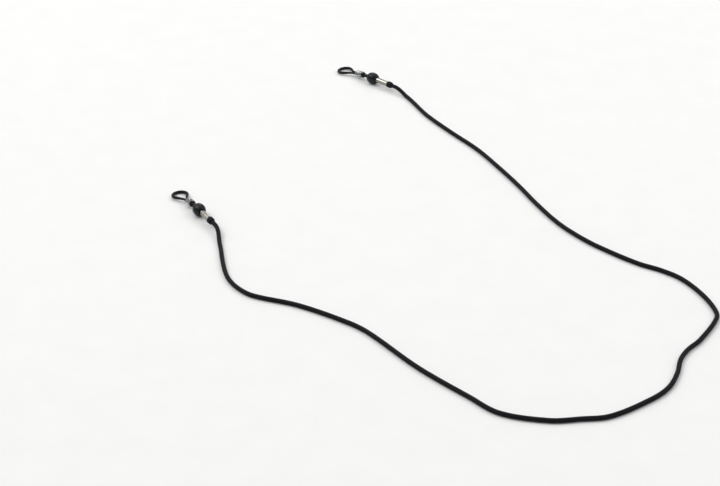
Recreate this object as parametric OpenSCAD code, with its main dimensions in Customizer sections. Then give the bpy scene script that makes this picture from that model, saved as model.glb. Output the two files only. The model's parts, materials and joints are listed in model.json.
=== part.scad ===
// Eyeglass retainer strap: one round braided cord with the same end fitting
// at both ends.  Seen from the cord outwards, each fitting is a collar, a
// metal ferrule, a ball-shaped bell that turns on a rivet, and a soft rubber
// noose with a clear slider bead that closes its loop on a temple arm.
//
// Frame: +Z up, z = 0 is the surface the strap lies on, and the origin is
// below the middle of the two end fittings.

/* [Cord] */
// Diameter of the round braided cord
cord_d = 2.2; // [1.6:0.1:2.8]

/* [Ferrule and collar] */
// Wall of the ferrule tube
ferrule_wall = 0.34; // [0.3:0.02:0.7]
// Length of the ferrule from its rim to the bell's mouth
ferrule_len = 8.8; // [5:0.2:14]
// Thickness of the ferrule's closed end, which the rivet goes through
ferrule_end = 1; // [0.8:0.1:1.4]
// Depth of the two crimp dimples
dimple_depth = 0.2; // [0.1:0.05:0.25]
// Length of the collar beyond the ferrule's rim
collar_len = 2; // [1.5:0.5:6]
// Length of the collar that grips the ferrule
collar_lap = 0.8; // [0.5:0.1:2]
// Wall of the collar over the ferrule
collar_wall = 0.3; // [0.2:0.05:0.6]

/* [Bell] */
// Largest diameter of the bell
bell_d = 6.4; // [5.6:0.2:9]
// Free room in the bell between the rivet's head and the noose's head
bell_room = 0.95; // [0.2:0.05:3]
// Thickness of the bell's wall behind the noose's head
bell_back = 1.5; // [1:0.1:1.8]
// Thickness of the plug that closes the bell's mouth
plug_t = 1; // [0.8:0.1:1.2]

/* [Rivet] */
// Diameter of the rivet's shank
rivet_d = 1.2; // [0.8:0.1:1.4]
// Thickness of the rivet's turned head
rivet_head_t = 0.8; // [0.5:0.1:0.9]
// Thickness of the rivet's upset tail
rivet_tail_t = 0.7; // [0.5:0.1:0.9]

/* [Noose] */
// Free bore of the loop that holds a temple arm
loop_bore = 6; // [5:0.2:9]
// Thickness of the loop's rubber
loop_wire = 1.6; // [1.5:0.1:2.2]
// Distance from where the strands part to the middle of the loop
loop_reach = 6; // [5:0.5:12]
// Diameter of each of the two strands
strand_d = 1.2; // [0.9:0.1:1.4]
// Diameter of the neck between bell and flange
neck_d = 2; // [1.4:0.1:2.2]
// Length of the neck between bell and flange
neck_len = 2.8; // [2:0.2:6]
// How far the flange that stops the slider stands out past the slider's bore
flange_lip = 0.15; // [0.1:0.05:0.4]
// Thickness of the flange
flange_t = 1.4; // [0.6:0.1:1.8]
// Thickness of the noose's head inside the bell
head_t = 1.2; // [0.8:0.1:1.4]

/* [Slider] */
// Wall of the clear slider bead
slider_wall = 0.45; // [0.3:0.05:1.2]
// Length of the slider bead
slider_len = 4; // [3:0.2:8]
// How far the slider travels along the strands
slider_travel = 3; // [2:0.5:10]

/* [Hidden] */
$fn = 64;

// Clearances
turn_gap = 0.05;  // radial, rivet shank in plug, and under the rivet's head
face_gap = 0.1;   // between faces that slide or turn on each other
mouth_gap = 0.15; // radial, ferrule in the bell's mouth
cord_gap = 0.02;  // radial, cord in ferrule and collar
strand_gap = 0.16; // between the two strands
bead_gap = 0.17;   // radial, strands in the slider bead
bore_clear = 0.04; // the strands stay this far outside the loop's bore
cord_stop_gap = 0.4; // between the cord's end and the rivet's tail

// Radii of the pieces that fit each other, from the cord outwards
cord_r = cord_d / 2;
tube_bore_r = cord_r + cord_gap;
ferrule_r = tube_bore_r + ferrule_wall;
bell_bore_r = ferrule_r + mouth_gap;
rivet_r = rivet_d / 2;
rivet_head_r = bell_bore_r - 0.35;
rivet_tail_r = tube_bore_r - 0.17;
neck_r = neck_d / 2;
axis_z = bell_d / 2;

// Stations along an end's axis: 0 is the bell's mouth, the cord is on the
// minus side and the noose on the plus side
ferrule_tip = ferrule_end - face_gap;
ferrule_rim = -ferrule_len;
collar_tip = ferrule_rim - collar_len;
plug_face = ferrule_tip + face_gap;
plug_back = plug_face + plug_t;
rivet_head_face = plug_back + turn_gap;
rivet_tail_face = ferrule_tip - ferrule_end;
rivet_tail_end = rivet_tail_face - rivet_tail_t;
head_front = rivet_head_face + rivet_head_t + bell_room;
head_back = head_front + head_t;
bell_len = head_back + bell_back;
bend = bell_len + neck_len / 2;
cord_stop = rivet_tail_end - cord_stop_gap;

// Bell: an ellipse turned about the axis, which leaves these rims round the
// mouth and round the neck.  mouth_share and back_share place its two ends on
// the ellipse, as shares of half its length
mouth_rim = 0.4;
neck_rim = 0.3;
mouth_r = bell_bore_r + mouth_rim;
mouth_share = sqrt(1 - pow(mouth_r / axis_z, 2));
back_share = sqrt(1 - pow((neck_r + neck_rim) / axis_z, 2));
bell_half = bell_len / (mouth_share + back_share);
bell_mid = bell_half * mouth_share;

// Noose beyond its bend, measured along the strands
flange_face = neck_len / 2;
slider_back = flange_face + flange_t + face_gap;
fork_x = slider_back + slider_len + slider_travel + face_gap;
loop_x = fork_x + loop_reach;
loop_r = loop_bore / 2;
wire_r = loop_wire / 2;
strand_r = strand_d / 2;
loop_mid_r = loop_r + max(0.4 * loop_wire, strand_r + bore_clear);
strand_y = strand_r + strand_gap / 2;
slider_bore_r = strand_y + strand_r + bead_gap;
slider_r = slider_bore_r + slider_wall;
flange_r = slider_bore_r + flange_lip;
// The strands droop until the loop's far side lies on the surface
droop = asin((axis_z - wire_r) / (loop_x + loop_mid_r));
// From the fork each strand runs straight until it meets the loop's arc
fork_turn = asin(loop_mid_r / norm([loop_reach, strand_y]))
    - atan(strand_y / loop_reach);
leg_len = sqrt(pow(loop_reach, 2) + pow(strand_y, 2) - pow(loop_mid_r, 2));

// Place of each bell's mouth on the surface, and the end's direction in degrees
left_end = [-39.4, -76.8, 122];
right_end = [47.5, 66.8, 139];

// Places that the cord passes on the surface, from the right end to the left
cord_path = [
    [64, 50], [74, 29], [86, 10], [99, -9], [109, -28], [118, -47],
    [126, -66], [135, -84], [146, -99], [157, -110], [169, -120],
    [179, -126], [187, -133], [194, -145], [198, -157], [198, -165],
    [188, -182], [181, -190], [177, -197], [174, -207], [169, -217],
    [161, -225], [142, -237], [129, -239], [116, -240], [96, -235],
    [84, -224], [63, -203], [42, -177], [33, -169], [10, -155],
    [-11, -147], [-18, -141], [-23, -133], [-26, -122], [-29, -103]
];
cord_sides = 8;
ring_step = 8.4;   // distance between the tube's rings
cord_straight = 2; // straight stretch outside each collar

// A point on an end's axis, and the level direction from cord to noose
function end_dir(end) = [cos(end[2]), sin(end[2]), 0];
function end_point(end, x) = [end[0], end[1], axis_z] + x * end_dir(end);

route = concat(
    [end_point(right_end, cord_stop),
     end_point(right_end, collar_tip - cord_straight)],
    [for (p = cord_path) [p[0], p[1], cord_r]],
    [end_point(left_end, collar_tip - cord_straight),
     end_point(left_end, cord_stop)]
);
route_last = len(route) - 1;

// Direction of the route at point i: level everywhere, and along the
// fitting's axis at both ends
function level(v) = [v[0], v[1], 0];
function route_dir(i) =
    i <= 1 ? -end_dir(right_end)
    : i >= route_last - 1 ? end_dir(left_end)
    : level(route[i + 1] - route[i - 1])
        / (norm(route[i + 1] - route[i]) + norm(route[i] - route[i - 1]));

// A point on the smooth curve between route points i and i + 1, at share t
function route_point(i, t) =
    let (a = route[i], b = route[i + 1], h = norm(b - a))
    (1 + 2 * t) * pow(1 - t, 2) * a + t * pow(1 - t, 2) * h * route_dir(i)
    + t * t * (3 - 2 * t) * b - t * t * (1 - t) * h * route_dir(i + 1);

function steps(i) = max(1, round(norm(route[i + 1] - route[i]) / ring_step));
centres = [
    for (i = [0 : route_last - 1]) for (k = [0 : steps(i) - 1])
        route_point(i, k / steps(i)),
    route[route_last]
];
centre_last = len(centres) - 1;

function unit(v) = v / norm(v);
function heading(i) =
    unit(centres[min(i + 1, centre_last)] - centres[max(i - 1, 0)]);

// One ring of the tube, square to the route
function ring(i) =
    let (t = heading(i), side = unit(cross(t, [0, 0, 1])), top = cross(side, t))
    [for (k = [0 : cord_sides - 1])
        let (a = 360 * k / cord_sides)
        centres[i] + cord_r * (cos(a) * side + sin(a) * top)];

module cord() {
    points = [for (i = [0 : centre_last]) each ring(i)];
    start_cap = [for (k = [0 : cord_sides - 1]) k];
    end_cap = [for (k = [cord_sides - 1 : -1 : 0])
        centre_last * cord_sides + k];
    walls = [for (i = [0 : centre_last - 1]) for (k = [0 : cord_sides - 1])
        let (n = (k + 1) % cord_sides, a = i * cord_sides, b = a + cord_sides)
        [a + k, b + k, b + n, a + n]];
    color("#1f2128") polyhedron(points, concat([start_cap, end_cap], walls));
}

// Puts an end's pieces, drawn along +X from the bell's mouth, in their place
module at_end(end) {
    translate([end[0], end[1], axis_z]) rotate([0, 0, end[2]]) children();
}

// A solid of revolution about the X axis, from [x, radius] corners
module turned(corners) {
    rotate([0, 90, 0]) rotate_extrude()
        polygon([for (c = corners) [c[1], c[0]]]);
}

// A plain round bar along X from x0 to x1
module bar(r, x0, x1) {
    translate([x0, 0, 0]) rotate([0, 90, 0]) cylinder(r = r, h = x1 - x0);
}

// Moves to the noose's bend and along its drooping strands
module drooping() {
    translate([bend, 0, 0]) rotate([0, droop, 0]) children();
}

// The head in the bell, the neck, and the drooping flange, strands and loop
module noose() {
    knuckle = 1.15; // balls at the bends, in radii of what bends
    leg_bite = 0.1; // how far each strand reaches into the loop's arc
    color("#16181d") {
        bar(bell_bore_r - turn_gap, head_front, head_back);
        bar(neck_r, head_back - head_t / 2, bend);
        drooping() {
            sphere(r = knuckle * neck_r);
            bar(neck_r, 0, flange_face + flange_t / 2);
            bar(flange_r, flange_face, flange_face + flange_t);
            for (side = [-1, 1]) translate([0, side * strand_y, 0]) {
                bar(strand_r, flange_face + flange_t / 2, fork_x);
                translate([fork_x, 0, 0]) {
                    sphere(r = knuckle * strand_r);
                    rotate([0, 0, side * fork_turn])
                        bar(strand_r, 0, leg_len + leg_bite);
                }
            }
            translate([loop_x, 0, 0]) loop();
        }
    }
}

// The arc that joins the strands, flat inside where it bears on the temple
module loop() {
    half_arc = 90 + fork_turn;
    rotate([0, 0, -half_arc]) rotate_extrude(angle = 2 * half_arc) difference() {
        translate([loop_mid_r, 0]) circle(r = wire_r);
        translate([0, -wire_r]) square([loop_r, loop_wire]);
    }
}

// The clear bead both strands run through, with softened rims
module slider() {
    soft = 0.8 * slider_wall; // the rims are softened over this much
    r = slider_r;
    color("#dfe6ea", 0.5) drooping() translate([slider_back, 0, 0])
        difference() {
            turned([
                [0, 0], [0, r - soft], [soft, r],
                [slider_len - soft, r], [slider_len, r - soft], [slider_len, 0]
            ]);
            bar(slider_bore_r, -1, slider_len + 1);
        }
}

// The ball-shaped cap, open at its mouth and bored for the neck at its back
module bell() {
    arc_steps = 24;
    color("#15181d") difference() {
        turned(concat(
            [[0, 0]],
            [for (k = [0 : arc_steps])
                let (x = bell_len * k / arc_steps)
                [x, axis_z * sqrt(1 - pow((x - bell_mid) / bell_half, 2))]],
            [[bell_len, 0]]
        ));
        bar(bell_bore_r, -1, head_back);
        bar(neck_r, head_back - 1, bell_len + 1);
    }
}

// The washer pressed into the bell, which keeps the rivet's head inside
module end_plug() {
    color("#202329") difference() {
        bar(bell_bore_r, plug_face, plug_back);
        bar(rivet_r + turn_gap, plug_face - 1, plug_back + 1);
    }
}

// The rivet the bell turns on, upset inside the ferrule
module swivel_rivet() {
    color("#b9bcc0") {
        bar(rivet_head_r, rivet_head_face, rivet_head_face + rivet_head_t);
        bar(rivet_r, rivet_tail_face, rivet_head_face);
        bar(rivet_tail_r, rivet_tail_end, rivet_tail_face);
    }
}

// The drawn metal tube, with a closed end, a cord bore and two crimp dimples
module ferrule() {
    dimple_r = 0.9;
    dimple_x = ferrule_rim + collar_lap + 1.4;
    edge = 0.15;
    color("#c9ccd0") difference() {
        turned([
            [ferrule_rim, 0], [ferrule_rim, ferrule_r],
            [ferrule_tip - edge, ferrule_r], [ferrule_tip, ferrule_r - edge],
            [ferrule_tip, 0]
        ]);
        bar(tube_bore_r, ferrule_rim - 1, rivet_tail_face);
        bar(rivet_r, rivet_tail_face - 1, ferrule_tip + 1);
        for (side = [-1, 1])
            translate([dimple_x, 0, side * (ferrule_r + dimple_r - dimple_depth)])
                sphere(r = dimple_r);
    }
}

// The soft sleeve that covers the ferrule's rim and closes onto the cord
module collar() {
    grip = ferrule_rim + collar_lap;
    shoulder = ferrule_rim - 0.7 * collar_len;
    color("#1a1c21") difference() {
        turned([
            [grip, 0], [grip, ferrule_r + collar_wall],
            [shoulder, ferrule_r + collar_wall],
            [collar_tip, tube_bore_r + collar_wall], [collar_tip, 0]
        ]);
        bar(ferrule_r, ferrule_rim, grip + 1);
        bar(tube_bore_r, collar_tip - 1, ferrule_rim + 0.1);
    }
}

module left_noose() { at_end(left_end) noose(); }
module left_slider() { at_end(left_end) slider(); }
module left_bell() { at_end(left_end) bell(); }
module left_end_plug() { at_end(left_end) end_plug(); }
module left_swivel_rivet() { at_end(left_end) swivel_rivet(); }
module left_ferrule() { at_end(left_end) ferrule(); }
module left_collar() { at_end(left_end) collar(); }
module right_noose() { at_end(right_end) noose(); }
module right_slider() { at_end(right_end) slider(); }
module right_bell() { at_end(right_end) bell(); }
module right_end_plug() { at_end(right_end) end_plug(); }
module right_swivel_rivet() { at_end(right_end) swivel_rivet(); }
module right_ferrule() { at_end(right_end) ferrule(); }
module right_collar() { at_end(right_end) collar(); }

cord();
left_noose();
left_slider();
left_bell();
left_end_plug();
left_swivel_rivet();
left_ferrule();
left_collar();
right_noose();
right_slider();
right_bell();
right_end_plug();
right_swivel_rivet();
right_ferrule();
right_collar();
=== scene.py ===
"""Eyeglass retainer strap: a braided cord with a swivelling rubber noose at each end.

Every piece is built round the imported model's frame.  An end fitting is modelled
in millimetres along +X, from 0 at the bell's mouth, with the cord on its minus
side, and is then set in its place at each end of the cord.
"""

import json
import math

import bpy
from bpy.props import FloatProperty, FloatVectorProperty, IntProperty, PointerProperty
from bpy.types import Operator, Panel, PropertyGroup
from mathutils import Matrix, Vector


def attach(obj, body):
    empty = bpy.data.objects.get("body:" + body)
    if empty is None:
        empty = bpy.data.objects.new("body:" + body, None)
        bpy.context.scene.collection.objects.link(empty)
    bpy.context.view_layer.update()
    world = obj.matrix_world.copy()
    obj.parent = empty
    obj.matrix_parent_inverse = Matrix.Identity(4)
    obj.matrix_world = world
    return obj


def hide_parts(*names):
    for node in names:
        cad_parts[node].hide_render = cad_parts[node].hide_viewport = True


bl_info = {
    "name": "Eyeglass Retainer Strap",
    "version": (1, 0, 0),
    "blender": (4, 5, 0),
    "location": "View3D > Sidebar > Retainer Strap",
    "description": "Builds a braided spectacle cord with swivelling rubber nooses",
    "category": "Add Mesh",
}

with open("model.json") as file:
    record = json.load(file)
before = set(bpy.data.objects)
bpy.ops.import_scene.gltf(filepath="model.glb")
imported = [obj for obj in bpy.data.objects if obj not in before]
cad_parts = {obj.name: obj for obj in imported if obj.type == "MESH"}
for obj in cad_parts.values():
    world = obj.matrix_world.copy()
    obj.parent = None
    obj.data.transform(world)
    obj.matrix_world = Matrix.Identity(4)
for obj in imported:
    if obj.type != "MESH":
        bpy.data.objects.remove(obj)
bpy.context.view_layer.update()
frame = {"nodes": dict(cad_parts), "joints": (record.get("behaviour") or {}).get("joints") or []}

MM = 0.001
SIDES = ("left", "right")

# Places that the cord passes on the surface, in millimetres, from the right
# end to the left
CORD_PATH = (
    (64, 50), (74, 29), (86, 10), (99, -9), (109, -28), (118, -47),
    (126, -66), (135, -84), (146, -99), (157, -110), (169, -120),
    (179, -126), (187, -133), (194, -145), (198, -157), (198, -165),
    (188, -182), (181, -190), (177, -197), (174, -207), (169, -217),
    (161, -225), (142, -237), (129, -239), (116, -240), (96, -235),
    (84, -224), (63, -203), (42, -177), (33, -169), (10, -155),
    (-11, -147), (-18, -141), (-23, -133), (-26, -122), (-29, -103),
)


def linear(code):
    """The linear colour of an sRGB hex value such as "#1f2128"."""
    shares = [int(code[i:i + 2], 16) / 255 for i in (1, 3, 5)]
    return tuple(c / 12.92 if c <= 0.04045 else ((c + 0.055) / 1.055) ** 2.4 for c in shares)


def length_property(name, description, default, low, high):
    return FloatProperty(
        name=name, description=description, default=default, min=low, max=high,
        unit="LENGTH", precision=5)


def colour_property(name, description, code):
    return FloatVectorProperty(
        name=name, description=description, default=linear(code), min=0, max=1,
        size=3, subtype="COLOR")


# ---------------------------------------------------------------- settings

class CordSettings(PropertyGroup):
    diameter: length_property(
        "Diameter", "Diameter over the crowns of the braid", 0.0022, 0.0016, 0.0032)
    length: length_property(
        "Length", "Length of the cord, with what the ferrules hold", 0.641, 0.3, 1.2)
    relief: length_property(
        "Relief", "Height of the strands over the gaps between them", 0.00009, 0, 0.0003)
    diamond: length_property(
        "Diamond length", "Length of one diamond of the braid", 0.0013, 0.0008, 0.003)
    strands: IntProperty(
        name="Strands", description="Strands that turn each way round the cord",
        default=8, min=4, max=12)
    colour: colour_property("Colour", "Crowns of the dyed polyester", "#0f1118")
    # The gap colour is painted shade: it darkens the crevices between the braid's strands.
    gap_shade_colour: colour_property("Gap colour", "Shaded gaps of the braid", "#040507")


class FittingSettings(PropertyGroup):
    neck_radius: length_property(
        "Neck radius", "Radius of the noose's neck", 0.001, 0.0007, 0.0011)
    strand_radius: length_property(
        "Strand radius", "Radius of each rubber strand", 0.0006, 0.0004, 0.0008)
    loop_wire: length_property(
        "Loop thickness", "Thickness of the rubber round the loop", 0.0016, 0.001, 0.0022)
    dimple_depth: length_property(
        "Crimp depth", "Depth of the crimp dimples in the ferrule", 0.0002, 0, 0.0003)
    rubber_colour: colour_property("Rubber", "Noose and collar", "#08090d")
    bell_colour: colour_property("Bell", "Moulded bell", "#05090e")
    metal_colour: colour_property("Ferrule", "Nickel plating", "#b9b6ae")
    bead_colour: colour_property("Slider", "Clear bead", "#f2f5f6")


class StudioSettings(PropertyGroup):
    elevation: FloatProperty(
        name="Elevation", description="Camera's angle above the surface",
        default=math.radians(32), min=0, max=math.pi / 2, subtype="ANGLE")
    distance: length_property("Distance", "From the camera to its aim", 0.855, 0.2, 3)
    lens: FloatProperty(
        name="Lens", description="Focal length in millimetres", default=89.1, min=20, max=200)
    aim: FloatVectorProperty(
        name="Aim", description="Point on the surface that the camera looks at",
        default=(0.038, -0.100, 0), size=3, subtype="TRANSLATION", unit="LENGTH")
    floor_colour: colour_property("Floor", "Pale studio paper", "#f4f4f3")


# ------------------------------------------------------------- places and sizes

def joint(name):
    """The record's joint of that name."""
    return next(j for j in frame["joints"] if j["name"] == name)


def end_place(side):
    """Turns an end's own millimetres, +X from cord to noose, into the frame's metres."""
    swivel = joint(side + "_swivel")
    out = Vector(swivel["axis"])
    up = Vector((0, 0, 1))
    across = up.cross(out)
    turn_to = Matrix((out, across, up)).transposed().to_4x4()
    return Matrix.Translation(swivel["pos_m"]) @ turn_to @ Matrix.Scale(MM, 4)


def reach(node, place):
    """First and last x and the largest radius of a CAD node, in millimetres along a place's +X."""
    back = place.inverted()
    points = [back @ v.co for v in frame["nodes"][node].data.vertices]
    return (
        min(p.x for p in points),
        max(p.x for p in points),
        max(math.hypot(p.y, p.z) for p in points))


FIRST = SIDES[0]
END = end_place(FIRST)
BELL = reach(FIRST + "_bell", END)
FERRULE = reach(FIRST + "_ferrule", END)
COLLAR = reach(FIRST + "_collar", END)

# The strands droop from the bend in the neck down to the surface
STRAND_AXIS = END.inverted().to_3x3() @ Vector(joint(FIRST + "_slider_slide")["axis"])
DROOP = math.atan2(-STRAND_AXIS.z, STRAND_AXIS.x)


def bend_x():
    """Where the strands' drooping line meets the bell's axis, found from the slider's middle."""
    back = END.inverted()
    points = [back @ v.co for v in frame["nodes"][FIRST + "_slider"].data.vertices]
    low = Vector([min(p[i] for p in points) for i in range(3)])
    high = Vector([max(p[i] for p in points) for i in range(3)])
    middle = (low + high) / 2
    return middle.x + middle.z / math.tan(DROOP)


BEND = bend_x()
STRANDS = END @ Matrix.Translation((BEND, 0, 0)) @ Matrix.Rotation(DROOP, 4, "Y")
SLIDER = reach(FIRST + "_slider", STRANDS)
NOOSE_TIP = reach(FIRST + "_noose", STRANDS)[1]
RIVET_TAIL = reach(FIRST + "_swivel_rivet", END)[0]
TRAVEL = joint(FIRST + "_slider_slide")["range_m"][1] / MM

# Clearances that the pieces share
MOUTH_GAP = 0.15  # round the ferrule in the bell's mouth
CORD_STOP_GAP = 0.4  # from the cord's end to the rivet's tail
FACE_GAP = 0.1  # between faces that slide on each other

# Radii of bores and holes, in millimetres
BELL_BORE = FERRULE[2] + MOUTH_GAP
LOOP_BORE = 3.0
RIVET_HOLE = 0.62

# Walls and thicknesses, in millimetres
MOUTH_RIM = 0.4  # of the bell, round the ferrule
NECK_RIM = 0.3  # of the bell, round the noose's neck
BELL_BACK = 1.5  # the bell's wall that holds the noose's head
HEAD_THICKNESS = 1.2  # the noose's head inside the bell
FLANGE_THICKNESS = 1.4  # the noose's stop for the slider
SLIDER_WALL = 0.45
FERRULE_END = 1.0  # the ferrule's closed end, which the rivet passes

BRAID_FACES = 4  # faces along one side of a braid's diamond


# ------------------------------------------------------------- modelling helpers

def deselect_all():
    if bpy.context.object and bpy.context.object.mode != "OBJECT":
        bpy.ops.object.mode_set(mode="OBJECT")
    bpy.ops.object.select_all(action="DESELECT")


def pick(piece):
    """Makes one object the selected and active one."""
    deselect_all()
    piece.select_set(True)
    bpy.context.view_layer.objects.active = piece


def apply_modifier(piece, kind, **settings):
    """Adds a modifier with its settings and applies it."""
    pick(piece)
    bpy.ops.object.modifier_add(type=kind)
    modifier = piece.modifiers[-1]
    for name, value in settings.items():
        setattr(modifier, name, value)
    bpy.ops.object.modifier_apply(modifier=modifier.name)


def turn(name, profile, sides=72, ring_closed=False):
    """Turns a profile of (x, radius) stations about the X axis, ring by ring.

    A closed profile is a hollow piece, whose last ring meets its first.  Otherwise
    both ends are filled."""
    deselect_all()
    stations = list(profile) + ([profile[0]] if ring_closed else [])
    x, radius = stations[0]
    bpy.ops.mesh.primitive_circle_add(
        vertices=sides, radius=radius, location=(x, 0, 0), rotation=(0, math.pi / 2, 0))
    piece = bpy.context.object
    piece.name = piece.data.name = name
    bpy.ops.object.transform_apply(location=True, rotation=True, scale=False)
    bpy.ops.object.mode_set(mode="EDIT")
    bpy.ops.mesh.select_all(action="SELECT")
    for (x0, r0), (x1, r1) in zip(stations, stations[1:]):
        bpy.ops.mesh.extrude_region_move(TRANSFORM_OT_translate={"value": (x1 - x0, 0, 0)})
        bpy.ops.transform.resize(value=(1, r1 / r0, r1 / r0), center_override=(x1, 0, 0))
    bpy.ops.mesh.select_all(action="SELECT")
    bpy.ops.mesh.remove_doubles(threshold=0.001)
    if not ring_closed:
        bpy.ops.mesh.fill_holes(sides=0)
    bpy.ops.mesh.select_all(action="SELECT")
    bpy.ops.mesh.normals_make_consistent(inside=False)
    bpy.ops.object.mode_set(mode="OBJECT")
    return piece


def arc(x_mid, half_length, radius, x0, x1, steps):
    """Stations from x0 to x1 along an ellipse about the X axis."""
    xs = [x0 + (x1 - x0) * k / steps for k in range(steps + 1)]
    return [(x, radius * math.sqrt(1 - ((x - x_mid) / half_length) ** 2)) for x in xs]


def even(x0, x1, radius, step):
    """Stations of one radius from x0 to x1, about a step apart."""
    count = max(1, round(abs(x1 - x0) / step))
    return [(x0 + (x1 - x0) * k / count, radius) for k in range(count + 1)]


def wrap_uv(piece, name="wrap"):
    """A UV map round the X axis: U is millimetres round the piece, V millimetres along it."""
    layer = piece.data.uv_layers.new(name=name)
    radius = max(math.hypot(v.co.y, v.co.z) for v in piece.data.vertices)
    for polygon in piece.data.polygons:
        middle = math.atan2(polygon.center.z, polygon.center.y)
        for corner in polygon.loop_indices:
            co = piece.data.vertices[piece.data.loops[corner].vertex_index].co
            angle = math.atan2(co.z, co.y)
            angle += math.tau * round((middle - angle) / math.tau)
            layer.data[corner].uv = (angle * radius, co.x)


def smooth(piece, degrees=40):
    pick(piece)
    bpy.ops.object.shade_smooth_by_angle(angle=math.radians(degrees))


def set_in_place(piece, name, node, body, material):
    """Copies a finished piece to both ends, rides each copy and hides the CAD node it stands for."""
    for side in SIDES:
        copy = bpy.data.objects.new(side + "_" + name, piece.data.copy())
        copy.data.name = copy.name
        bpy.context.scene.collection.objects.link(copy)
        copy.data.transform(end_place(side))
        copy.data.materials.clear()
        copy.data.materials.append(material)
        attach(copy, body.format(side=side))
        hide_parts(side + "_" + node)
    bpy.data.objects.remove(piece)


# ------------------------------------------------------------- materials

def add(tree, kind, values=None, links=None, **settings):
    """Adds one node with its settings, its fixed inputs and the sockets that feed it."""
    made = tree.nodes.new(kind)
    for name, value in settings.items():
        setattr(made, name, value)
    for socket, value in (values or {}).items():
        made.inputs[socket].default_value = value
    for socket, source in (links or {}).items():
        tree.links.new(source, made.inputs[socket])
    return made


def new_material(name, **values):
    """A node material with a Principled shader, whose sockets take the values given."""
    material = bpy.data.materials.new(name)
    material.use_nodes = True
    shader = material.node_tree.nodes["Principled BSDF"]
    for socket, value in values.items():
        shader.inputs[socket.replace("_", " ")].default_value = value
    return material, material.node_tree, shader


def opaque(colour):
    return (*colour, 1.0)


def grain(tree, vector, scale, detail=4.0, roughness=0.5):
    """Noise, with its scale in patterns per metre of the vector it reads."""
    return add(
        tree, "ShaderNodeTexNoise",
        values={"Scale": scale, "Detail": detail, "Roughness": roughness},
        links={"Vector": vector}).outputs["Fac"]


def ramp(tree, source, low, high, low_at=0.35, high_at=0.65):
    """Turns a grey value into a colour between two, over the stretch given."""
    made = add(tree, "ShaderNodeValToRGB", links={"Fac": source})
    made.color_ramp.elements[0].position = low_at
    made.color_ramp.elements[0].color = low
    made.color_ramp.elements[1].position = high_at
    made.color_ramp.elements[1].color = high
    return made.outputs["Color"]


def spread(tree, source, low, high):
    """Maps a value from 0..1 to low..high."""
    return add(
        tree, "ShaderNodeMapRange",
        values={"To Min": low, "To Max": high}, links={"Value": source}).outputs["Result"]


def bump(tree, shader, height, distance, strength=1.0):
    """Feeds the shader's normal from a height, with the relief's depth in metres."""
    made = add(
        tree, "ShaderNodeBump", values={"Distance": distance, "Strength": strength},
        links={"Height": height})
    tree.links.new(made.outputs["Normal"], shader.inputs["Normal"])


def braided_polyester(settings):
    """Dyed polyester filament yarn, braided: filaments run along each strand and catch a soft sheen,
    and the gaps between strands carry painted shade.
    """
    material, tree, shader = new_material(
        "braided_polyester", Roughness=0.6, IOR=1.5, Specular_IOR_Level=0.16,
        Sheen_Weight=0.05, Sheen_Roughness=0.4)
    strand = add(tree, "ShaderNodeUVMap", uv_map="strand").outputs["UV"]
    along = add(
        tree, "ShaderNodeMapping", values={"Scale": (9.0, 1.2, 1.0)},
        links={"Vector": strand}).outputs["Vector"]
    filaments = grain(tree, along, 1.0, detail=3.0)
    # Gaps between strands are painted darker than the crowns, as painted shade in the braid's crevices;
    # the filaments are then laid over it.
    height = add(tree, "ShaderNodeAttribute", attribute_name="crown").outputs["Fac"]
    body = ramp(
        tree, height, opaque(settings.gap_shade_colour), opaque(settings.colour), 0.05, 0.75)
    filaments_over_gap_shade = add(
        tree, "ShaderNodeMix", data_type="RGBA", blend_type="MULTIPLY",
        values={"Factor": 0.55}, links={"A": body, "B": ramp(
            tree, filaments, (0.45, 0.45, 0.48, 1), (1.3, 1.3, 1.32, 1), 0.3, 0.7)})
    tree.links.new(filaments_over_gap_shade.outputs["Result"], shader.inputs["Base Color"])
    tree.links.new(spread(tree, filaments, 0.5, 0.78), shader.inputs["Roughness"])
    bump(tree, shader, filaments, 0.00004, 0.7)
    return material


def moulded_silicone(settings):
    """Black silicone rubber from a polished mould: a satin skin with faint flow marks and lint."""
    material, tree, shader = new_material(
        "moulded_silicone", Roughness=0.42, IOR=1.43, Specular_IOR_Level=0.25)
    place = add(tree, "ShaderNodeTexCoord").outputs["Object"]
    cloud = grain(tree, place, 900.0)
    skin = grain(tree, place, 9000.0, detail=2.0)
    dark = tuple(0.7 * c for c in settings.rubber_colour)
    pale = tuple(1.5 * c for c in settings.rubber_colour)
    tree.links.new(
        ramp(tree, cloud, opaque(dark), opaque(pale)), shader.inputs["Base Color"])
    tree.links.new(spread(tree, cloud, 0.32, 0.56), shader.inputs["Roughness"])
    bump(tree, shader, skin, 0.00002, 0.5)
    return material


def shrink_sleeve(settings):
    """Heat-shrunk polyolefin tube: matt, with fine rings left by its shrinking."""
    material, tree, shader = new_material(
        "shrunk_polyolefin", Roughness=0.6, IOR=1.5, Specular_IOR_Level=0.18)
    wrap = add(tree, "ShaderNodeUVMap", uv_map="wrap").outputs["UV"]
    rings = add(
        tree, "ShaderNodeMapping", values={"Scale": (0.4, 3.2, 1.0)},
        links={"Vector": wrap}).outputs["Vector"]
    folds = grain(tree, rings, 1.0, detail=3.0)
    dark = tuple(0.8 * c for c in settings.rubber_colour)
    pale = tuple(1.8 * c for c in settings.rubber_colour)
    tree.links.new(
        ramp(tree, folds, opaque(dark), opaque(pale)), shader.inputs["Base Color"])
    tree.links.new(spread(tree, folds, 0.48, 0.7), shader.inputs["Roughness"])
    bump(tree, shader, folds, 0.00008, 0.6)
    return material


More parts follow.
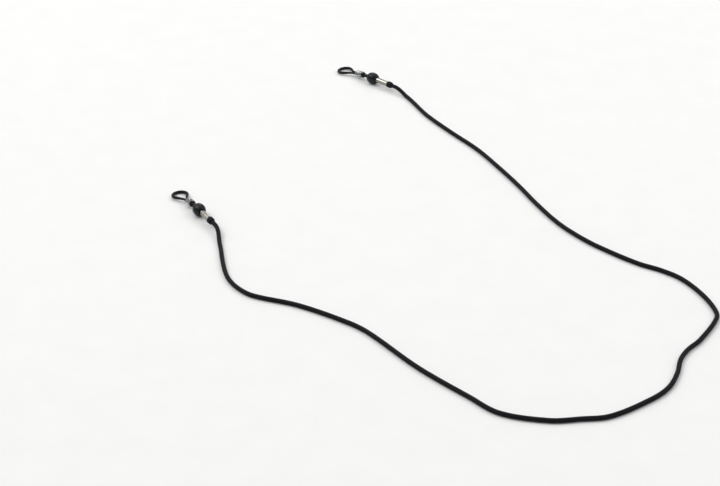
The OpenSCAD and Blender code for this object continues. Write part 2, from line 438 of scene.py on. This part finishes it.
def moulded_abs(settings):
    """Black ABS from a spark-eroded mould: satin, finely pitted, polished a little by wear."""
    material, tree, shader = new_material(
        "moulded_abs", Roughness=0.3, IOR=1.54, Specular_IOR_Level=0.25)
    place = add(tree, "ShaderNodeTexCoord").outputs["Object"]
    pits = add(
        tree, "ShaderNodeTexVoronoi", values={"Scale": 7000.0},
        links={"Vector": place}).outputs["Distance"]
    wear = grain(tree, place, 500.0)
    dark = tuple(0.8 * c for c in settings.bell_colour)
    pale = tuple(1.7 * c for c in settings.bell_colour)
    tree.links.new(
        ramp(tree, wear, opaque(dark), opaque(pale)), shader.inputs["Base Color"])
    tree.links.new(spread(tree, wear, 0.2, 0.42), shader.inputs["Roughness"])
    bump(tree, shader, pits, 0.000015, 0.6)
    return material


def nickel_plate(settings):
    """Drawn brass tube, nickel plated: warm grey with fine drawn lines along the draw, and broad bright
    and dark stripes along it that are painted reflections.
    """
    material, tree, shader = new_material("nickel_plated_brass", Roughness=0.26, Metallic=1.0)
    wrap = add(tree, "ShaderNodeUVMap", uv_map="wrap").outputs["UV"]
    drawn = add(
        tree, "ShaderNodeMapping", values={"Scale": (7.0, 0.25, 1.0)},
        links={"Vector": wrap}).outputs["Vector"]
    lines = grain(tree, drawn, 1.0, detail=4.0)
    # Broad lengthwise stripes, dimmed to a third of the plating's colour where dark: painted
    # reflections of the dark and bright parts of a studio.
    reflection_band_coords = add(
        tree, "ShaderNodeMapping", values={"Scale": (1.1, 0.03, 1.0)},
        links={"Vector": wrap}).outputs["Vector"]
    reflection_bands = grain(tree, reflection_band_coords, 1.0, detail=1.0)
    painted_dark_reflection = tuple(0.3 * c for c in settings.metal_colour)
    lines_and_painted_reflections = add(
        tree, "ShaderNodeMix", data_type="RGBA", blend_type="MULTIPLY",
        values={"Factor": 1.0},
        links={"A": ramp(
            tree, reflection_bands, opaque(painted_dark_reflection), opaque(settings.metal_colour), 0.42, 0.56),
            "B": ramp(tree, lines, (0.6, 0.6, 0.6, 1), (1, 1, 1, 1), 0.3, 0.6)})
    tree.links.new(lines_and_painted_reflections.outputs["Result"], shader.inputs["Base Color"])
    tree.links.new(spread(tree, lines, 0.36, 0.18), shader.inputs["Roughness"])
    bump(tree, shader, lines, 0.00001, 0.5)
    return material


def clear_acrylic(settings):
    """Clear acrylic bead, tumbled: glossy and see-through, a little milky from fine scratches."""
    material, tree, shader = new_material(
        "tumbled_acrylic", Roughness=0.08, IOR=1.49, Transmission_Weight=0.9,
        Base_Color=opaque(settings.bead_colour))
    place = add(tree, "ShaderNodeTexCoord").outputs["Object"]
    scratches = grain(tree, place, 2600.0, detail=6.0)
    tree.links.new(spread(tree, scratches, 0.03, 0.2), shader.inputs["Roughness"])
    bump(tree, shader, scratches, 0.00001, 0.3)
    return material


def turned_steel():
    """Zinc plated steel rivet: grey metal with turning marks round its head."""
    material, tree, shader = new_material("zinc_plated_steel", Roughness=0.32, Metallic=1.0)
    place = add(tree, "ShaderNodeTexCoord").outputs["Object"]
    marks = grain(tree, place, 4000.0)
    tree.links.new(
        ramp(tree, marks, opaque(linear("#9a9c9e")), opaque(linear("#c8cacc"))),
        shader.inputs["Base Color"])
    tree.links.new(spread(tree, marks, 0.22, 0.44), shader.inputs["Roughness"])
    return material


def moulded_acetal():
    """Dark acetal plug: a slippery, slightly waxy moulding with fine tool marks."""
    material, tree, shader = new_material("moulded_acetal", Roughness=0.45, IOR=1.48)
    place = add(tree, "ShaderNodeTexCoord").outputs["Object"]
    cloud = grain(tree, place, 3000.0)
    tree.links.new(
        ramp(tree, cloud, opaque(linear("#1b1e23")), opaque(linear("#2a2e35"))),
        shader.inputs["Base Color"])
    tree.links.new(spread(tree, cloud, 0.36, 0.55), shader.inputs["Roughness"])
    return material


def studio_paper(colour):
    """Pale seamless paper: matt, with the faintest mottle."""
    material, tree, shader = new_material("studio_paper", Roughness=0.9)
    place = add(tree, "ShaderNodeTexCoord").outputs["Object"]
    mottle = grain(tree, place, 60.0)
    soft = tuple(0.985 * c for c in colour)
    tree.links.new(
        ramp(tree, mottle, opaque(soft), opaque(colour)), shader.inputs["Base Color"])
    return material


# ------------------------------------------------------------- the cord's route

def end_point(side, x):
    """A point on an end's axis, in the frame's metres."""
    return end_place(side) @ Vector((x, 0, 0))


def cord_route(radius):
    """The cord's points, and the direction it runs in at each of them."""
    inside, outside = RIVET_TAIL - CORD_STOP_GAP, COLLAR[0] - 2.0
    route = [end_point("right", inside), end_point("right", outside)]
    route += [Vector((x * MM, y * MM, radius)) for x, y in CORD_PATH]
    route += [end_point("left", outside), end_point("left", inside)]
    last = len(route) - 1
    directions = []
    for i in range(last + 1):
        if i <= 1:
            directions.append(-Vector(joint("right_swivel")["axis"]))
        elif i >= last - 1:
            directions.append(Vector(joint("left_swivel")["axis"]))
        else:
            chord = route[i + 1] - route[i - 1]
            chord.z = 0
            spans = (route[i + 1] - route[i]).length + (route[i] - route[i - 1]).length
            directions.append(chord / spans)
    return route, directions


def smooth_line(route, directions, step):
    """Points about a step apart on the smooth curve through the route."""
    line = []
    for i in range(len(route) - 1):
        a, b = route[i], route[i + 1]
        span = (b - a).length
        count = max(1, round(span / step))
        for k in range(count):
            t = k / count
            line.append(
                (1 + 2 * t) * (1 - t) ** 2 * a + t * (1 - t) ** 2 * span * directions[i]
                + t * t * (3 - 2 * t) * b - t * t * (1 - t) * span * directions[i + 1])
    line.append(route[-1])
    return line


def braid_height(a, b):
    """Height of the braid from 0 in a gap to 1 on a crown.

    a and b count the strands of the two ways round; in each diamond one lies on top."""
    cell_a, cell_b = math.floor(a + 1e-6), math.floor(b + 1e-6)
    across, run = a - cell_a, b - cell_b
    if (cell_a + cell_b) % 2:
        across, run = run, across
    rise = max(0.0, math.sin(math.pi * across)) * max(0.0, math.sin(math.pi * run)) ** 0.5
    return rise ** 0.6


def braid_tube(name, line, settings):
    """A tube along a line, whose faces follow the diamonds of a braid.

    The diamonds are drawn a little coarser than a fine cord has them, so that they show."""
    cells = BRAID_FACES
    sides = settings.strands * cells
    radius = settings.diameter / 2
    points, crowns, faces, uvs = [], [], [], []
    side = (line[1] - line[0]).cross(Vector((0, 0, 1))).normalized()
    for j, centre in enumerate(line):
        ahead = (line[min(j + 1, len(line) - 1)] - line[max(j - 1, 0)]).normalized()
        side = (side - ahead * side.dot(ahead)).normalized()
        top = side.cross(ahead)
        for i in range(sides):
            crown = braid_height((i + j) / cells, (i - j) / cells)
            reach_out = radius - settings.relief * (1 - crown)
            angle = math.tau * i / sides
            points.append(centre + reach_out * (math.cos(angle) * side + math.sin(angle) * top))
            crowns.append(crown)
    for j in range(len(line) - 1):
        for i in range(sides):
            corners = ((i, j), (i + 1, j), (i + 1, j + 1), (i, j + 1))
            # a strand's edge runs along one diagonal, so the face is split there
            order = ((0, 1, 3), (1, 2, 3)) if (i + j) % cells == cells - 1 else ((0, 1, 2), (0, 2, 3))
            for triangle in order:
                ring = [corners[k] for k in triangle]
                faces.append([p[1] * sides + p[0] % sides for p in ring])
                mid_i = sum(p[0] for p in ring) / 3
                mid_j = sum(p[1] for p in ring) / 3
                cell_a = math.floor((mid_i + mid_j) / cells)
                cell_b = math.floor((mid_i - mid_j) / cells)
                for p in ring:
                    a = (p[0] + p[1]) / cells
                    b = (p[0] - p[1]) / cells
                    uvs.append((b - cell_b, a + 7.3 * cell_b) if (cell_a + cell_b) % 2
                               else (a - cell_a, b + 5.7 * cell_a))
    for first in (0, (len(line) - 1) * sides):
        cap = [first + k for k in range(sides)]
        faces.append(cap if first == 0 else cap[::-1])
        uvs += [(0.5, 0.5)] * sides
    mesh = bpy.data.meshes.new(name)
    mesh.from_pydata(points, [], [face[::-1] for face in faces])
    crown_data = mesh.attributes.new("crown", "FLOAT", "POINT")
    crown_data.data.foreach_set("value", crowns)
    layer = mesh.uv_layers.new(name="strand")
    start = 0
    for face in faces:
        for k in range(len(face)):
            layer.data[start + k].uv = uvs[start + len(face) - 1 - k]
        start += len(face)
    piece = bpy.data.objects.new(name, mesh)
    bpy.context.scene.collection.objects.link(piece)
    return piece


# ------------------------------------------------------------- operators

class STRAP_OT_studio(Operator):
    """Sets up the pale floor, the soft lights and the camera"""

    bl_idname = "strap.studio"
    bl_label = "Studio"

    def execute(self, context):
        studio = context.scene.strap_studio
        aim = Vector(studio.aim)
        away = Vector((0, -math.cos(studio.elevation), math.sin(studio.elevation)))
        deselect_all()
        bpy.ops.object.camera_add(location=aim + away * studio.distance)
        camera = context.object
        camera.name = "studio_camera"
        camera.rotation_mode = "QUATERNION"
        camera.rotation_quaternion = away.to_track_quat("Z", "Y")
        camera.data.lens = studio.lens
        camera.data.clip_start, camera.data.clip_end = 0.01, 20
        context.scene.camera = camera

        bpy.ops.mesh.primitive_plane_add(size=12, location=(0, 0, -0.00002))
        floor = context.object
        floor.name = floor.data.name = "studio_floor"
        bpy.ops.object.transform_apply(location=True, rotation=False, scale=False)
        floor.data.materials.append(studio_paper(studio.floor_colour))

        # name, place, size in metres, watts
        lights = (
            ("key_softbox", (-1.0, 0.2, 1.3), 0.9, 8),
            ("side_softbox", (1.2, 0.1, 1.1), 0.8, 5),
            ("back_softbox", (0.2, 1.4, 1.1), 0.9, 5),
        )
        for name, place, size, watts in lights:
            bpy.ops.object.light_add(type="AREA", location=place)
            light = context.object
            light.name = light.data.name = name
            light.data.size = size
            light.data.energy = watts
            light.rotation_mode = "QUATERNION"
            light.rotation_quaternion = (Vector(place) - aim).to_track_quat("Z", "Y")

        bpy.ops.object.light_add(type="SUN", location=(-1, 0.6, 2))
        ceiling = context.object
        ceiling.name = ceiling.data.name = "ceiling_light"
        ceiling.data.energy = 0.9
        ceiling.data.angle = math.radians(80)
        ceiling.rotation_mode = "QUATERNION"
        ceiling.rotation_quaternion = Vector((-0.4, 0.25, 1)).to_track_quat("Z", "Y")

        world = bpy.data.worlds.new("studio_air")
        world.use_nodes = True
        sky = world.node_tree.nodes["Background"]
        sky.inputs["Color"].default_value = (1, 1, 1, 1)
        sky.inputs["Strength"].default_value = 0.4
        context.scene.world = world
        context.scene.view_settings.view_transform = "Standard"
        return {"FINISHED"}


class STRAP_OT_cord(Operator):
    """Braids the cord along its route from one ferrule to the other"""

    bl_idname = "strap.cord"
    bl_label = "Cord"

    def execute(self, context):
        settings = context.scene.strap_cord
        route, directions = cord_route(settings.diameter / 2)
        line = smooth_line(route, directions, settings.diamond / BRAID_FACES)
        cord = braid_tube("braided_cord", line, settings)
        smooth(cord, 60)
        cord.data.materials.append(braided_polyester(settings))
        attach(cord, "cord_assembly")
        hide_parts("cord")
        return {"FINISHED"}


class STRAP_OT_ferrules(Operator):
    """Turns the drawn metal ferrules and crimps them"""

    bl_idname = "strap.ferrules"
    bl_label = "Ferrules"

    def execute(self, context):
        fitting = context.scene.strap_fitting
        rim, tip, radius = FERRULE
        cord = context.scene.strap_cord.diameter / MM / 2
        step = 0.2
        bead = COLLAR[1]  # a rolled bead stands just clear of the collar
        outside = even(rim, bead + 0.06, radius - 0.01, step)
        outside += [(bead + 0.12, radius + 0.05), (bead + 0.22, radius + 0.08),
                    (bead + 0.32, radius + 0.05), (bead + 0.4, radius - 0.01)]
        outside += even(bead + 0.55, tip - 0.14, radius - 0.01, step)
        outside += [(tip - 0.05, radius - 0.05), (tip, radius - 0.15), (tip, RIVET_HOLE)]
        inside = [(tip - FERRULE_END, RIVET_HOLE)]
        inside += even(tip - FERRULE_END, rim, cord + 0.02, step)
        ferrule = turn("ferrule", outside + inside, ring_closed=True)
        crimp(ferrule, bead + 1.4, fitting.dimple_depth / MM)
        wrap_uv(ferrule)
        smooth(ferrule, 35)
        set_in_place(
            ferrule, "drawn_ferrule", "ferrule", "cord_assembly",
            nickel_plate(fitting))
        return {"FINISHED"}


def crimp(ferrule, x, depth):
    """Presses two oval dimples into the tube's outside at the station x, above and below."""
    half_length, half_width = 0.8, 0.62
    for vertex in ferrule.data.vertices:
        co = vertex.co
        radius = math.hypot(co.y, co.z)
        if radius < FERRULE[2] - 0.1:
            continue
        off = (abs(math.atan2(co.z, co.y)) - math.pi / 2) * radius
        push = depth * math.exp(-((co.x - x) / half_length) ** 2 - (off / half_width) ** 2)
        co.y *= 1 - push / radius
        co.z *= 1 - push / radius


class STRAP_OT_collars(Operator):
    """Shrinks the soft collars over the ferrules' rims and the cord"""

    bl_idname = "strap.collars"
    bl_label = "Collars"

    def execute(self, context):
        fitting = context.scene.strap_fitting
        tail, front, radius = COLLAR
        rim, _, tube = FERRULE
        cord = context.scene.strap_cord.diameter / MM / 2
        lip = cord + 0.24
        outside = [
            (front, tube + 0.1), (front - 0.05, radius - 0.08), (front - 0.16, radius - 0.01),
            (front - 0.4, radius), (rim, radius), (rim - 0.4, radius - 0.03),
            (rim - 0.9, radius - 0.04), (tail + 0.75, radius - 0.07),
            (tail + 0.5, radius - 0.13), (tail + 0.28, radius - 0.24),
            (tail + 0.1, lip + 0.06), (tail, lip - 0.08)]
        inside = [(tail, cord + 0.02), (tail + 0.3, cord + 0.01), (rim - 0.12, cord + 0.01),
                  (rim - 0.02, tube + 0.01), (front - 0.2, tube + 0.01), (front, tube + 0.02)]
        collar = turn("collar", outside + inside, ring_closed=True)
        apply_modifier(collar, "SUBSURF", levels=1, render_levels=1)
        pucker(collar, cord + 0.15)
        wrap_uv(collar)
        smooth(collar, 50)
        set_in_place(
            collar, "shrunk_collar", "collar", "cord_assembly",
            shrink_sleeve(fitting))
        return {"FINISHED"}


def pucker(collar, least):
    """Shallow uneven puckers beyond the ferrule's rim, as a sleeve keeps where it has shrunk."""
    for vertex in collar.data.vertices:
        co = vertex.co
        if math.hypot(co.y, co.z) < least:
            continue
        angle = math.atan2(co.z, co.y)
        share = min(1.0, max(0.0, (FERRULE[0] + 0.2 - co.x) / 0.8))
        wave = math.sin(5 * angle + 1.7 * co.x) + 0.6 * math.sin(3 * angle - 2.9 * co.x)
        co.y *= 1 + 0.012 * share * wave
        co.z *= 1 + 0.012 * share * wave


class STRAP_OT_bells(Operator):
    """Turns the moulded bells, hollow, with a crisp mouth and a mould line"""

    bl_idname = "strap.bells"
    bl_label = "Bells"

    def execute(self, context):
        fitting = context.scene.strap_fitting
        _, length, radius = BELL
        neck = fitting.neck_radius / MM + 0.02
        mouth, back = BELL_BORE + MOUTH_RIM, neck + NECK_RIM
        # the ellipse's two ends, as shares of half its length
        mouth_share = math.sqrt(1 - (mouth / radius) ** 2)
        back_share = math.sqrt(1 - (back / radius) ** 2)
        half = length / (mouth_share + back_share)
        middle = half * mouth_share
        seam = middle + 0.35  # the mould's parting line

        def side(x0, x1, steps):
            return arc(middle, half, radius, x0, x1, steps)

        outside = [(0.0, BELL_BORE + 0.1), (0.0, mouth - 0.07), (0.02, mouth - 0.015)]
        outside += side(0.08, seam - 0.07, 20)
        outside += [(seam - 0.03, radius - 0.05), (seam + 0.03, radius - 0.05)]
        outside += side(seam + 0.07, length - 0.16, 22)
        outside += [(length - 0.07, back + 0.03), (length, back - 0.07), (length, neck + 0.1)]
        inside = [(length - 0.1, neck), (length - BELL_BACK, neck),
                  (length - BELL_BACK, BELL_BORE), (0.1, BELL_BORE)]
        bell = turn("bell", outside + inside, sides=96, ring_closed=True)
        wrap_uv(bell)
        smooth(bell, 32)
        set_in_place(
            bell, "moulded_bell", "bell", "{side}_end", moulded_abs(fitting))
        return {"FINISHED"}


class STRAP_OT_nooses(Operator):
    """Moulds the rubber nooses: head, neck, flange, strands and loop in one"""

    bl_idname = "strap.nooses"
    bl_label = "Nooses"

    def execute(self, context):
        fitting = context.scene.strap_fitting
        neck = fitting.neck_radius / MM
        strand = fitting.strand_radius / MM
        wire = fitting.loop_wire / MM / 2
        head = reach(FIRST + "_noose", END)[0] - BEND
        head_r = BELL_BORE - 0.06
        head_end = head + HEAD_THICKNESS
        flange_end = SLIDER[0] - FACE_GAP
        flange = flange_end - FLANGE_THICKNESS
        flange_r = SLIDER[2] - 0.3
        loop_mid = LOOP_BORE + 0.8 * wire
        loop_x = NOOSE_TIP - loop_mid - wire
        root = turn("noose", [
            (head, head_r - 0.15), (head + 0.12, head_r), (head_end - 0.12, head_r),
            (head_end, head_r - 0.12), (head_end, neck), (flange - 0.9, 0.95 * neck),
            (flange - 0.3, 0.97 * neck), (flange - 0.06, 1.1 * neck),
            (flange + 0.04, flange_r - 0.3), (flange + 0.2, flange_r - 0.08),
            (flange + 0.5, flange_r), (flange_end - 0.4, flange_r),
            (flange_end - 0.12, flange_r - 0.08), (flange_end, flange_r - 0.28),
            (flange_end + 0.03, strand), (flange_end + 0.1, 0.4 * strand)], sides=64)
        fork = SLIDER[1] + TRAVEL + FACE_GAP
        pieces = [root, lasso(flange_end - 0.5, fork, loop_x, loop_mid, strand, wire)]
        deselect_all()
        for piece in pieces:
            piece.select_set(True)
        bpy.context.view_layer.objects.active = root
        bpy.ops.object.join()
        noose = bpy.context.object
        apply_modifier(noose, "REMESH", mode="VOXEL", voxel_size=0.085)
        apply_modifier(noose, "SMOOTH", factor=0.5, iterations=5)
        bearing_band(noose, loop_x)
        droop_beyond_neck(noose, BELL[1] - BEND, flange)
        noose.data.transform(Matrix.Translation((BEND, 0, 0)))
        pick(noose)
        bpy.ops.object.shade_smooth()
        set_in_place(
            noose, "rubber_noose", "noose", "{side}_end",
            moulded_silicone(fitting))
        return {"FINISHED"}


def lasso(x0, fork, loop_x, middle, strand, wire):
    """Both strands and the loop as one tube, which swells from strand to loop."""
    apart = strand + 0.08
    reach_on = loop_x - fork
    opening = math.asin(middle / math.hypot(reach_on, apart)) - math.atan(apart / reach_on)
    half_arc = math.pi / 2 + opening
    start, corner = Vector((x0, apart, 0)), Vector((fork, apart, 0))
    touch = Vector((
        loop_x + middle * math.cos(half_arc), middle * math.sin(half_arc), 0))
    half = [start.lerp(corner, k / 24) for k in range(24)]
    half += [corner.lerp(touch, k / 16) for k in range(16)]
    half += [Vector((loop_x + middle * math.cos(a), middle * math.sin(a), 0))
             for a in (half_arc * (1 - k / 32) for k in range(33))]
    mirrored = [Vector((p.x, -p.y, 0)) for p in half[-2::-1]]
    points = half + mirrored
    for _ in range(12):  # the rubber takes the fork in a soft bend
        points = [points[0]] + [
            (a + 2 * b + c) / 4 for a, b, c in zip(points, points[1:], points[2:])
        ] + [points[-1]]
    deselect_all()
    bpy.ops.curve.primitive_nurbs_path_add()
    path = bpy.context.object
    spline = path.data.splines[0]
    spline.type = "POLY"
    spline.points.add(len(points) - len(spline.points))
    for point, place in zip(spline.points, points):
        swell = min(1.0, max(0.0, (place.x - fork - 0.5) / (reach_on - 2.0)))
        swell = swell * swell * (3 - 2 * swell)
        point.co = (*place, 1)
        point.radius = 1 + (wire / strand - 1) * swell
    path.data.bevel_depth = strand
    path.data.bevel_resolution = 6
    path.data.use_fill_caps = True
    bpy.ops.object.convert(target="MESH")
    return bpy.context.object


def bearing_band(noose, loop_x):
    """Flattens the loop's inside where it bears on a temple arm, and fades out at its legs."""
    for vertex in noose.data.vertices:
        middle = Vector((loop_x, 0, vertex.co.z))
        out = vertex.co - middle
        share = min(1.0, max(0.0, out.x / LOOP_BORE + 0.7) / 0.4)
        if 0.5 * LOOP_BORE < out.length < LOOP_BORE:
            out.length += share * (LOOP_BORE - out.length)
            vertex.co = middle + out


def droop_beyond_neck(noose, start, stop):
    """Bends the neck in an even arc, so that the strands run down to the surface."""
    span = stop - start
    pivot = start + span / 2
    arc_radius = span / DROOP
    for vertex in noose.data.vertices:
        x, y, z = vertex.co
        share = min(1.0, max(0.0, (x - start) / span))
        angle = DROOP * share
        beyond = x - start - span * share
        line_x = start + arc_radius * math.sin(angle) + beyond * math.cos(angle)
        line_z = -arc_radius * (1 - math.cos(angle)) - beyond * math.sin(angle)
        vertex.co = (line_x + z * math.sin(angle), y, line_z + z * math.cos(angle))
    # the arc is a hair shorter than its two tangents, which meet at the bend
    slack = math.tan(DROOP / 2) * arc_radius * 2 - span
    for vertex in noose.data.vertices:
        if vertex.co.x > pivot:
            vertex.co.x += slack


class STRAP_OT_sliders(Operator):
    """Turns the clear slider beads that close the loops"""

    bl_idname = "strap.sliders"
    bl_label = "Sliders"

    def execute(self, context):
        fitting = context.scene.strap_fitting
        x0, x1, radius = SLIDER
        bore, rim = radius - SLIDER_WALL, 0.16
        bead = turn("bead", [
            (x0 + rim, radius), (x1 - rim, radius), (x1, radius - rim),
            (x1, bore + 0.6 * rim), (x1 - 0.6 * rim, bore), (x0 + 0.6 * rim, bore),
            (x0, bore + 0.6 * rim), (x0, radius - rim)], sides=96, ring_closed=True)
        apply_modifier(
            bead, "BEVEL", width=0.07, segments=3, limit_method="ANGLE",
            angle_limit=math.radians(25))
        bead.data.transform(Matrix.Rotation(DROOP, 4, "Y"))
        bead.data.transform(Matrix.Translation((BEND, 0, 0)))
        smooth(bead, 50)
        set_in_place(
            bead, "clear_bead", "slider", "{side}_slider_bead",
            clear_acrylic(fitting))
        return {"FINISHED"}


class STRAP_OT_swivels(Operator):
    """Gives the rivets and plugs inside the bells their finishes"""

    bl_idname = "strap.swivels"
    bl_label = "Rivets and plugs"

    def execute(self, context):
        finishes = {"_swivel_rivet": turned_steel(), "_end_plug": moulded_acetal()}
        for side in SIDES:
            for part, material in finishes.items():
                node = frame["nodes"][side + part]
                node.data.materials.clear()
                node.data.materials.append(material)
        return {"FINISHED"}


class STRAP_PT_panel(Panel):
    """Lists the strap's pieces in the order they are made"""

    bl_idname = "STRAP_PT_panel"
    bl_label = "Retainer Strap"
    bl_space_type = "VIEW_3D"
    bl_region_type = "UI"
    bl_category = "Retainer Strap"

    def draw(self, context):
        for operator in OPERATORS:
            self.layout.operator(operator.bl_idname)
        for group in (context.scene.strap_cord, context.scene.strap_fitting,
                      context.scene.strap_studio):
            box = self.layout.box()
            for name in group.__annotations__:
                box.prop(group, name)


OPERATORS = (
    STRAP_OT_studio, STRAP_OT_cord, STRAP_OT_ferrules, STRAP_OT_collars, STRAP_OT_bells,
    STRAP_OT_nooses, STRAP_OT_sliders, STRAP_OT_swivels)
SETTINGS = {
    "strap_cord": CordSettings, "strap_fitting": FittingSettings,
    "strap_studio": StudioSettings}


def register():
    for group in SETTINGS.values():
        bpy.utils.register_class(group)
    for name, group in SETTINGS.items():
        setattr(bpy.types.Scene, name, PointerProperty(type=group))
    for operator in OPERATORS:
        bpy.utils.register_class(operator)
    bpy.utils.register_class(STRAP_PT_panel)


def unregister():
    bpy.utils.unregister_class(STRAP_PT_panel)
    for operator in reversed(OPERATORS):
        bpy.utils.unregister_class(operator)
    for name, group in SETTINGS.items():
        delattr(bpy.types.Scene, name)
        bpy.utils.unregister_class(group)


def main():
    register()
    bpy.ops.strap.studio()
    bpy.ops.strap.cord()
    bpy.ops.strap.ferrules()
    bpy.ops.strap.collars()
    bpy.ops.strap.bells()
    bpy.ops.strap.nooses()
    bpy.ops.strap.sliders()
    bpy.ops.strap.swivels()


if __name__ == "__main__":
    main()
